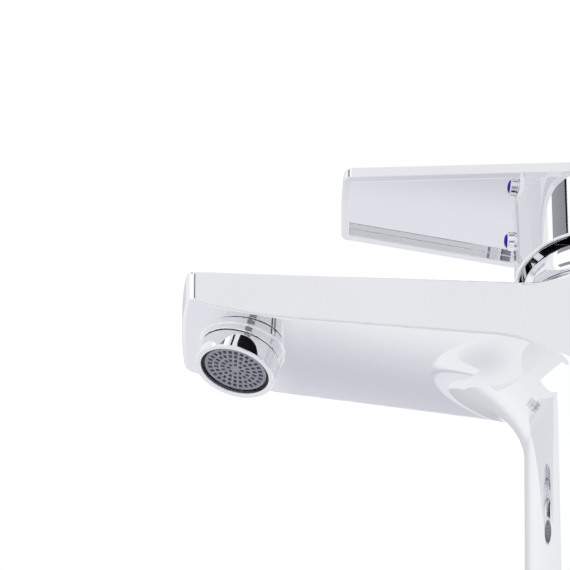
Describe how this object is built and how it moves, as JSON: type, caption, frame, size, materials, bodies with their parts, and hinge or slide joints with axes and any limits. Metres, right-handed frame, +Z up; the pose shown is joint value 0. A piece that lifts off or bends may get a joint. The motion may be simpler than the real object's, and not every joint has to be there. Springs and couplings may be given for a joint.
{
  "type": "single-lever basin mixer faucet",
  "caption": "Chrome single-lever basin mixer: round column, wedge spout with tilted aerator, flat tapered lever on a drum hub, ceramic-disc cartridge and stud fixing.",
  "frame": {"origin": "centre of the face that rests on the basin, on the axis of the column and of the tap hole", "axes": "+Z up along the column; the spout and lever point to -Y; +X is the cold side"},
  "size_m": [0.0618, 0.1744, 0.251],
  "materials": {
    "polished_chrome": "polished chrome plate over cast brass or zinc",
    "black_rubber": "moulded rubber",
    "grey_plastic": "satin moulded plastic",
    "black_plastic": "satin moulded plastic",
    "white_plastic": "satin moulded plastic",
    "red_plastic": "satin moulded plastic",
    "ceramic": "lapped alumina",
    "brass": "turned brass",
    "steel": "turned steel",
    "zinc_steel": "zinc-plated steel",
    "blue_enamel": "enamel",
    "red_enamel": "enamel"
  },
  "bodies": {
    "faucet": {"body_casting": "polished_chrome", "base_seal": "black_rubber", "aerator_housing": "polished_chrome", "aerator_outlet_grid": "grey_plastic", "aerator_insert": "grey_plastic", "aerator_strainer": "grey_plastic", "aerator_sleeve": "black_plastic", "aerator_seal": "black_rubber", "cartridge_housing": "white_plastic", "cartridge_base": "white_plastic", "cartridge_port_seals": "black_rubber", "ceramic_disc_fixed": "ceramic", "hot_limit_ring": "red_plastic", "cartridge_nut": "brass", "glide_ring": "black_plastic", "fixing_stud": "zinc_steel", "clamp_gasket": "black_rubber", "clamp_plate": "zinc_steel", "clamp_nut": "brass"},
    "turret": {"turret": "white_plastic", "pivot_pin": "steel"},
    "slider": {"disc_carrier": "white_plastic", "ceramic_disc_moving": "ceramic"},
    "lever": {"lever_handle": "polished_chrome", "lever_stem": "steel", "lever_set_screw": "steel", "index_plug": "polished_chrome", "cold_mark": "blue_enamel", "hot_mark": "red_enamel"}
  },
  "joints": [
    {"name": "temperature_swivel", "type": "hinge", "parent": "faucet", "child": "turret", "pos_m": [0, 0, 0.146], "axis": [0, 0, 1], "range_deg": [-50, 50]},
    {"name": "flow_lift", "type": "hinge", "parent": "turret", "child": "lever", "pos_m": [0, 0, 0.146], "axis": [-1, 0, 0], "range_deg": [0, 22]},
    {"name": "disc_slide", "type": "slide", "parent": "turret", "child": "slider", "axis": [0, -1, 0], "range_m": [0, 0.0054]}
  ],
  "couplings": [
    {"joint": "disc_slide", "follows": "flow_lift", "m_per_rad": 0.014}
  ]
}
